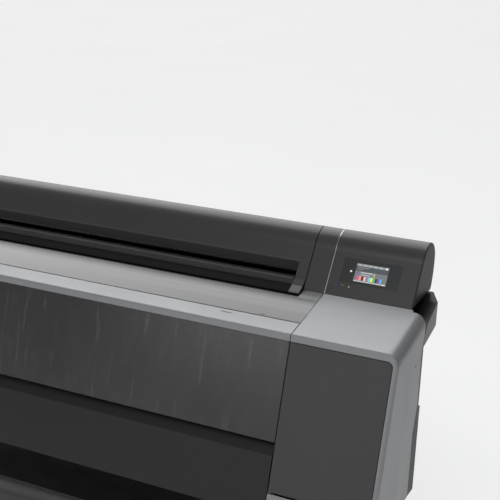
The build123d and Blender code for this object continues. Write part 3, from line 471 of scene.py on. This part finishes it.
def add_screen_picture():
    """The lit page on the screen: status bar, rows, a message band and twelve ink gauges."""
    face = head_face("display", DISPLAY_LIFT)
    inks = [glowing("lit_" + name, colour, 0.55) for name, colour in INKS.items()]
    palette = list(LIT.values()) + inks
    index = {name: i for i, name in enumerate([*LIT, *INKS])}
    work = bmesh.new()

    def strip(across, along, size, name, lift, radius=0.3):
        """A tile given by its middle and size, as shares of the page from its left and top."""
        centre = ((across - 0.5) * PAGE_WIDTH, (0.5 - along) * PAGE_HEIGHT)
        face.tile(work, centre, (size[0] * PAGE_WIDTH, size[1] * PAGE_HEIGHT), radius, lift, 0.05,
                  index[name])

    # page bands, the lowest layer
    for along, height, name in ((0.07, 0.14, "status"), (0.275, 0.27, "row"), (0.545, 0.27, "band"),
                                (0.815, 0.27, "band"), (0.975, 0.05, "pale")):
        strip(0.5, along, (1.0, height), name, 0.06)
    # generic marks in place of words
    for across, long in ((0.10, 0.09), (0.27, 0.12), (0.42, 0.10), (0.58, 0.13), (0.75, 0.10)):
        strip(across, 0.07, (long, 0.045), "pale", 0.10)
    strip(0.93, 0.07, (0.05, 0.09), "white", 0.10, 1.6)
    strip(0.22, 0.21, (0.36, 0.035), "status", 0.10)
    strip(0.14, 0.31, (0.20, 0.03), "status", 0.10)
    strip(0.07, 0.50, (0.05, 0.10), "violet", 0.10, 1.0)
    strip(0.36, 0.475, (0.38, 0.05), "pale", 0.10)
    strip(0.33, 0.60, (0.30, 0.035), "pale", 0.10)
    strip(0.60, 0.50, (0.035, 0.06), "yellow", 0.10)
    strip(0.60, 0.60, (0.035, 0.05), "pink", 0.10)
    for i, name in enumerate(INKS):
        across = 0.115 + i * 0.0715
        strip(across, 0.80, (0.066, 0.26), "status", 0.10)
        strip(across, 0.80, (0.060, 0.235), name, 0.13)
    strip(0.93, 0.965, (0.06, 0.03), "white", 0.10)
    place_piece("screen_picture", work, palette, body_carrying("display"))


def add_panel_marks():
    """Home mark beside the screen, and the marks on and by the power button."""
    screen = head_face("display", DISPLAY_LIFT)
    home = bmesh.new()
    beside = (-58.7, 0.0)
    screen.arc(home, beside, 2.3, 0.9, 0, 360, 0.55, 0.1, 0, 24)
    screen.disc(home, beside, 1.3, 0.55, 0.1)
    place_piece("home_mark", home, [LIT["white"]], body_carrying("control_bezel"))
    button = head_face("power_button", 2.75)
    button.origin = button_top()
    power = bmesh.new()
    button.arc(power, (0, 0), 2.2, 0.6, -235, 55, 0.07, 0.12)
    button.tile(power, (0, 2.0), (0.6, 2.2), 0.2, 0.07, 0.12)
    place_piece("power_symbol", power, [LIT["blue_mark"]], body_carrying("power_button"))
    lamps = bmesh.new()
    face = Surface(button.origin - 0.5 * MM * button.normal, button.normal)
    face.tile(lamps, (16.5, 1.9), (7.0, 1.2), 0.5, 0.12, 0.3, 0)
    face.disc(lamps, (36.0, -0.2), 1.1, 0.14, 0.3, 1)
    place_piece("panel_lamps", lamps, [LIT["amber_mark"], LIT["white"]],
                body_carrying("control_housing"))


def add_body_marks():
    """Small marks: the slit by the screen, the side slot's painted shade, the cover grip with
    painted shade in its recess, and the marks on the guide and lower cover.
    """
    dark = [MATERIALS["mech_black"]]
    deepest = [FINISHES["rear_housing"]]
    slit = bmesh.new()
    head_face("display", DISPLAY_LIFT).tile(slit, (108.4, 5.2), (8.8, 1.3), 0.4, -0.5, 0.7)
    place_piece("slit_shutter", slit, dark, body_carrying("control_housing"))

    far_top = corners("right_casing")[1]
    # a near-black plate over the side slot stands in for the shade inside it: painted shade
    side = Surface(far_top - Vector(SIDE_SLOT), Vector((1, 0, 0)), (0, 1, 0))
    slot = bmesh.new()
    side.tile(slot, (0, 0), (6.8, 9.8), 1.0, 0.1, 0.8)
    place_piece("side_slot_painted_shade", slot, deepest, body_carrying("right_casing"))

    # both marks are placed from the seam, where the guide ends
    guide_low, guide_high = corners("feed_guide")
    seam = guide_high.x
    high = corners("printer_cover_frame")[1]
    slope = math.radians(STRIP_SLOPE)
    strip = Surface(Vector((seam, high.y - MM, high.z)),
                    Vector((0, -math.sin(slope), math.cos(slope))))
    grip = bmesh.new()
    strip.tile(grip, (-212, -11), (33, 10), 1.6, 0.35, 0.7, 0)
    # a black strip inside the grip stands in for the shade in its recess: painted shade
    strip.tile(grip, (-212, -14), (30, 2.6), 0.8, 0.40, 0.3, 1)
    place_piece("cover_grip_with_painted_shade", grip, [MATERIALS["deck_grey"], MATERIALS["mech_black"]],
                body_carrying("printer_cover_frame"))

    slope = math.atan2(GUIDE_REAR[1] - GUIDE_FRONT[1], GUIDE_REAR[0] - GUIDE_FRONT[0])
    guide = Surface(Vector((seam, guide_low.y, guide_low.z + GUIDE_THICKNESS)),
                    Vector((0, -math.sin(slope), math.cos(slope))))
    arrow = bmesh.new()
    guide.prism(arrow, [(-120, 5), (-109, 5), (-114.5, 13)], 0.42, 0.3)
    place_piece("guide_arrow", arrow, deepest, body_carrying("feed_guide"))

    low = corners("lower_front_cover")[0]
    lean = math.radians(FRONT_LEAN)
    cover = Surface(Vector((0, low.y, low.z)), Vector((0, -math.cos(lean), math.sin(lean))))
    dots = bmesh.new()
    height = 148
    for across in (-540, -530):
        cover.disc(dots, (across, height), 1.6, 0.25, 0.5)
    cover.tile(dots, (-518, height), (10, 1.8), 0.6, 0.25, 0.5)
    place_piece("lower_cover_marks", dots, [MATERIALS["trim"]],
                body_carrying("lower_front_cover"))


def add_screw(work, face, centre, radius):
    """A domed screw head with a cross recess (material 1)."""
    angles = [2 * math.pi * i / SCREW_SIDES for i in range(SCREW_SIDES)]
    rings = []
    for share, lift in ((1.0, -0.3), (1.0, 0.5), (0.85, 1.1), (0.5, 1.6), (0.2, 1.75)):
        rings.append([work.verts.new(face.point(centre[0] + share * radius * math.cos(a),
                                                centre[1] + share * radius * math.sin(a), lift))
                      for a in angles])
    for low, high in zip(rings, rings[1:]):
        for i in range(SCREW_SIDES):
            after = (i + 1) % SCREW_SIDES
            work.faces.new((low[i], low[after], high[after], high[i]))
    work.faces.new(rings[-1])
    work.faces.new(rings[0][::-1])
    for size in ((radius * 1.1, radius * 0.26), (radius * 0.26, radius * 1.1)):
        face.tile(work, centre, size, radius * 0.1, 1.80, 0.5, 1)


def add_fasteners():
    """Screws along the rear panel's edges, and the bolts that hold the stand's beam."""
    finish = [MATERIALS["mech_black"], MATERIALS["roller_rubber"]]
    low, high = corners("rear_panel")
    lower_wall = Surface(Vector((0, high.y, low.z)), Vector((0, 1, 0)), (-1, 0, 0))
    upper_wall = Surface(Vector((0, high.y - 0.014, low.z)), Vector((0, 1, 0)), (-1, 0, 0))
    height = (high.z - low.z) / MM
    work = bmesh.new()
    for across in (-925, -620, -310, 0, 310, 620, 925):
        add_screw(work, lower_wall, (across, 14), 4.2)
        add_screw(work, lower_wall, (across, 238), 4.2)
        add_screw(work, upper_wall, (across, height - 14), 4.2)
    place_piece("rear_panel_screws", work, finish, body_carrying("rear_panel"))
    beam = node_middle("stand_beam")
    for side, label in ((1, "right"), (-1, "left")):
        low, high = corners(f"{label}_stand_leg")
        outer = high.x - 0.010 if side > 0 else low.x + 0.010
        face = Surface(Vector((outer, beam.y, beam.z)), Vector((side, 0, 0)), (0, side, 0))
        work = bmesh.new()
        for across, along in ((-12, -30), (12, -30), (-12, 30), (12, 30)):
            add_screw(work, face, (across, along), 6.0)
        place_piece(f"{label}_leg_bolts", work, finish, "root")


def button_top():
    """Middle of the power button's front: the point of its mesh furthest out, on its axis."""
    normal = outward("power_button_press")
    node = NODES["power_button"]
    reach = max((node.matrix_world @ v.co).dot(normal) for v in node.data.vertices)
    middle = node_middle("power_button")
    return middle + (reach - middle.dot(normal)) * normal


def smooth_path(points, per_span=6):
    """Catmull-Rom points through a list of (y, z) points."""
    ends = [points[0]] + points + [points[-1]]
    path = []
    for a, b, c, d in zip(ends, ends[1:], ends[2:], ends[3:]):
        for step in range(per_span):
            t = step / per_span
            path.append(tuple(0.5 * (2 * q + (r - p) * t + (2 * p - 5 * q + 4 * r - s) * t * t
                                     + (3 * q - p - 3 * r + s) * t ** 3)
                              for p, q, r, s in zip(a, b, c, d)))
    return path + [points[-1]]


def circle_through(a, b, c):
    """Centre and radius of the circle through three (y, z) points."""
    d = 2 * (a[0] * (b[1] - c[1]) + b[0] * (c[1] - a[1]) + c[0] * (a[1] - b[1]))
    squares = [p[0] ** 2 + p[1] ** 2 for p in (a, b, c)]
    y = (squares[0] * (b[1] - c[1]) + squares[1] * (c[1] - a[1]) + squares[2] * (a[1] - b[1])) / d
    z = (squares[0] * (c[0] - b[0]) + squares[1] * (a[0] - c[0]) + squares[2] * (b[0] - a[0])) / d
    return (y, z), math.hypot(a[0] - y, a[1] - z)


def basket_profile():
    """The cloth's section: a sleeve round each bar and a hanging belly between them."""
    cloth_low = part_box("basket_cloth")[0]
    front_low, front_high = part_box("basket_front_bar")
    rear_low, rear_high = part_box("basket_rear_bar")
    rod = (rear_high[2] - rear_low[2]) / 2
    front = (front_low[1] + rod, (front_low[2] + front_high[2]) / 2)
    rear = ((rear_low[1] + rear_high[1]) / 2, (rear_low[2] + rear_high[2]) / 2)
    drop = rod + 1.5 * MM
    start, end = (front[0], front[1] - drop), (rear[0], rear[1] - drop)
    lowest = ((start[0] + end[0]) / 2, cloth_low[2] + 1.5 * MM)
    centre, radius = circle_through(start, lowest, end)
    first = math.atan2(start[1] - centre[1], start[0] - centre[0])
    last = math.atan2(end[1] - centre[1], end[0] - centre[0])
    if first > 0:
        first -= 2 * math.pi
    sleeve = rod + 1.4 * MM

    def on_arc(share, inward=0.0):
        """A point of the belly, this share of the way along it."""
        angle = first + (last - first) * share
        return (centre[0] + (radius - inward) * math.cos(angle),
                centre[1] + (radius - inward) * math.sin(angle))

    def round_bar(bar, degrees):
        """Points of a sleeve round a bar."""
        return [(bar[0] + sleeve * math.cos(a), bar[1] + sleeve * math.sin(a))
                for a in map(math.radians, degrees)]

    hem, join = 0.055, 0.03
    points = [on_arc(hem, 2.2 * MM)] + [on_arc(hem / 2, 2.4 * MM)]
    points += round_bar(front, (-20, 30, 80, 130, 180)) + [on_arc(join)]
    points += [on_arc(share) for share in [0.06 + 0.88 * i / 16 for i in range(17)]]
    points += [on_arc(1 - join)] + round_bar(rear, (0, 50, 100, 150, 200))
    points += [on_arc(1 - hem / 2, 2.4 * MM)] + [on_arc(1 - hem, 2.2 * MM)]
    return smooth_path(points, 4)


def outward_normals(path):
    """Unit normals of a path in the YZ plane, to the left of its direction."""
    normals = []
    for i in range(len(path)):
        before, after = path[max(0, i - 1)], path[min(len(path) - 1, i + 1)]
        dy, dz = after[0] - before[0], after[1] - before[1]
        size = math.hypot(dy, dz) or 1.0
        normals.append((dz / size, -dy / size))
    return normals


def add_basket_cloth():
    """The print basket: one sheet sewn into sleeves, slightly slack, with stitched hems."""
    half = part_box("basket_cloth")[1][0]
    path = basket_profile()
    normals = outward_normals(path)
    count = len(path)
    waves = [(random.uniform(2.0, 9.0), random.uniform(0, 6.28), random.uniform(0.0003, 0.0011))
             for _ in range(7)]

    def sway(x, share):
        """Slack of the belly; nothing at the sleeves."""
        belly = math.sin(math.pi * share) ** 2 if 0 < share < 1 else 0.0
        ripple = sum(depth * math.sin(rate * x * (1.0 + 0.25 * share) * 2.2 + phase)
                     for rate, phase, depth in waves)
        edge = 0.0022 * math.exp(-(half - abs(x)) / 0.03)
        return belly * (ripple + edge)

    def sheet_point(x, i, offset=0.0):
        """A point of the sheet at the path's i-th point, offset along its normal."""
        share = (i / (count - 1) - SLEEVE_SHARE) / (1 - 2 * SLEEVE_SHARE)
        away = sway(x, share) + offset
        return (x, path[i][0] + normals[i][0] * away, path[i][1] + normals[i][1] * away)

    work = bmesh.new()
    grid = [[work.verts.new(sheet_point(-half + 2 * half * c / CLOTH_COLUMNS, i))
             for i in range(count)] for c in range(CLOTH_COLUMNS + 1)]
    for left, right in zip(grid, grid[1:]):
        for i in range(count - 1):
            work.faces.new((left[i], right[i], right[i + 1], left[i + 1]))
    cloth = place_piece("basket_fabric", work, [MATERIALS["cloth_black"]], "root")
    for face in cloth.data.polygons:
        face.use_smooth = True
    thicken = cloth.modifiers.new("thickness", "SOLIDIFY")
    thicken.thickness = CLOTH_THICKNESS
    thicken.offset = 0.0
    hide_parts("basket_cloth")

    # folded side hems, sewn on the outside
    first, last = int(count * SLEEVE_SHARE), int(count * (1 - SLEEVE_SHARE))
    for side, label in ((-1, "left"), (1, "right")):
        work = bmesh.new()
        rows = []
        for i in range(first, last):
            row = [sheet_point(side * (half - inner), i, offset) for inner, offset in HEM_STEPS]
            rows.append([work.verts.new(p) for p in row])
        for a, b in zip(rows, rows[1:]):
            for k in range(4):
                work.faces.new((a[k], a[(k + 1) % 4], b[(k + 1) % 4], b[k]))
        work.faces.new(rows[0])
        work.faces.new(rows[-1][::-1])
        place_piece(f"basket_{label}_hem", work, [MATERIALS["cloth_black"]], "root")
    # one row of stitches under each sleeve
    margin = 0.01
    for label, i in (("front", first - 4), ("rear", last + 4)):
        work = bmesh.new()
        for k in range(int(2 * (half - margin) / STITCH_PITCH)):
            x = -half + margin + (k + 0.5) * STITCH_PITCH
            add_stitch(work, Vector(sheet_point(x, i, 0.0007)), Vector((0, *normals[i])))
        place_piece(f"basket_{label}_stitches", work, [MATERIALS["thread"]], "root")


def add_stitch(work, middle, normal):
    """One thread stitch: a little hump along X."""
    length, width = STITCH_SIZE
    side = normal.cross(Vector((1, 0, 0)))
    angles = [2 * math.pi * i / STITCH_SIDES for i in range(STITCH_SIDES)]
    hump = ((-0.5, 0.0, 0.5), (-0.25, 0.8, 1.0), (0.25, 0.8, 1.0), (0.5, 0.0, 0.5))
    rings = []
    for share, height, breadth in hump:
        centre = middle + Vector((share * length, 0, 0)) + normal * height * width * 0.4
        radius = width * 0.4 * breadth
        rings.append([work.verts.new(centre + radius * (math.cos(a) * side + math.sin(a) * normal))
                      for a in angles])
    for a, b in zip(rings, rings[1:]):
        for k in range(STITCH_SIDES):
            after = (k + 1) % STITCH_SIDES
            work.faces.new((a[k], a[after], b[after], b[k]))
    work.faces.new(rings[0][::-1])
    work.faces.new(rings[-1])


# ---------------------------------------------------------------- studio
def add_floor():
    """Wide pale floor."""
    mesh = bpy.data.meshes.new("floor")
    work = bmesh.new()
    bmesh.ops.create_circle(work, cap_ends=True, segments=64, radius=FLOOR_RADIUS)
    work.to_mesh(mesh)
    work.free()
    floor = bpy.data.objects.new("floor", mesh)
    material, tree, shader = new_material("floor_paint")
    coords = tree.nodes.new("ShaderNodeTexCoord")
    tone = remap(tree, noise(tree, coords, 0.6, 3.0), "Fac", 0.935, 0.95)
    link(tree, tone, "Result", shader, "Base Color")
    shader.inputs["Roughness"].default_value = 0.9
    shader.inputs["Specular IOR Level"].default_value = 0.2
    mesh.materials.append(material)
    bpy.context.scene.collection.objects.link(floor)


def add_light(name, place, target, size, power):
    """A soft rectangular studio light aimed at a point."""
    data = bpy.data.lights.new(name, "AREA")
    data.shape = "RECTANGLE"
    data.size, data.size_y = size
    data.energy = power
    lamp = bpy.data.objects.new(name, data)
    lamp.location = place
    aim = Vector(target) - Vector(place)
    lamp.rotation_euler = aim.to_track_quat("-Z", "Y").to_euler()
    bpy.context.scene.collection.objects.link(lamp)


def add_lighting():
    """Broad soft light from above, behind and to the left, two weak softboxes, a dim room."""
    bpy.context.scene.view_settings.view_transform = "Standard"
    world = bpy.data.worlds.new("studio")
    world.use_nodes = True
    tree = world.node_tree
    background = tree.nodes["Background"]
    background.inputs["Color"].default_value = (0.98, 0.99, 1.0, 1)
    # the room is darker behind and to the right
    coords = tree.nodes.new("ShaderNodeTexCoord")
    toward = tree.nodes.new("ShaderNodeVectorMath")
    toward.operation = "DOT_PRODUCT"
    toward.inputs[1].default_value = Vector(DARK_SIDE).normalized()
    link(tree, coords, "Generated", toward, "Vector")
    fade = tree.nodes.new("ShaderNodeMapRange")
    fade.interpolation_type = "SMOOTHSTEP"
    fade.inputs["From Min"].default_value = 0.1
    fade.inputs["From Max"].default_value = 0.8
    fade.inputs["To Min"].default_value, fade.inputs["To Max"].default_value = ROOM_LIGHT
    link(tree, toward, "Value", fade, "Value")
    # the room's far wall is as pale as the floor where it shows
    path = tree.nodes.new("ShaderNodeLightPath")
    seen = tree.nodes.new("ShaderNodeMix")
    seen.inputs["B"].default_value = ROOM_SEEN
    link(tree, path, "Is Camera Ray", seen, "Factor")
    link(tree, fade, "Result", seen, "A")
    link(tree, seen, "Result", background, "Strength")
    bpy.context.scene.world = world
    sun = bpy.data.lights.new("overhead", "SUN")
    sun.energy = SUN_ENERGY
    sun.angle = math.radians(SUN_ANGLE)
    lamp = bpy.data.objects.new("overhead", sun)
    lamp.rotation_euler = Vector(SUN_DIRECTION).to_track_quat("-Z", "Y").to_euler()
    bpy.context.scene.collection.objects.link(lamp)
    add_light("front_softbox", (0.6, -4.2, 4.6), (0, 0, 1.0), (4.0, 2.0), 64)
    add_light("low_softbox", (-0.9, -5.6, 2.3), (0.2, 0, 0.9), (3.4, 2.0), 28)


add_camera()
dress_nodes()
add_screen_picture()
add_panel_marks()
add_body_marks()
add_fasteners()
add_basket_cloth()
add_floor()
add_lighting()
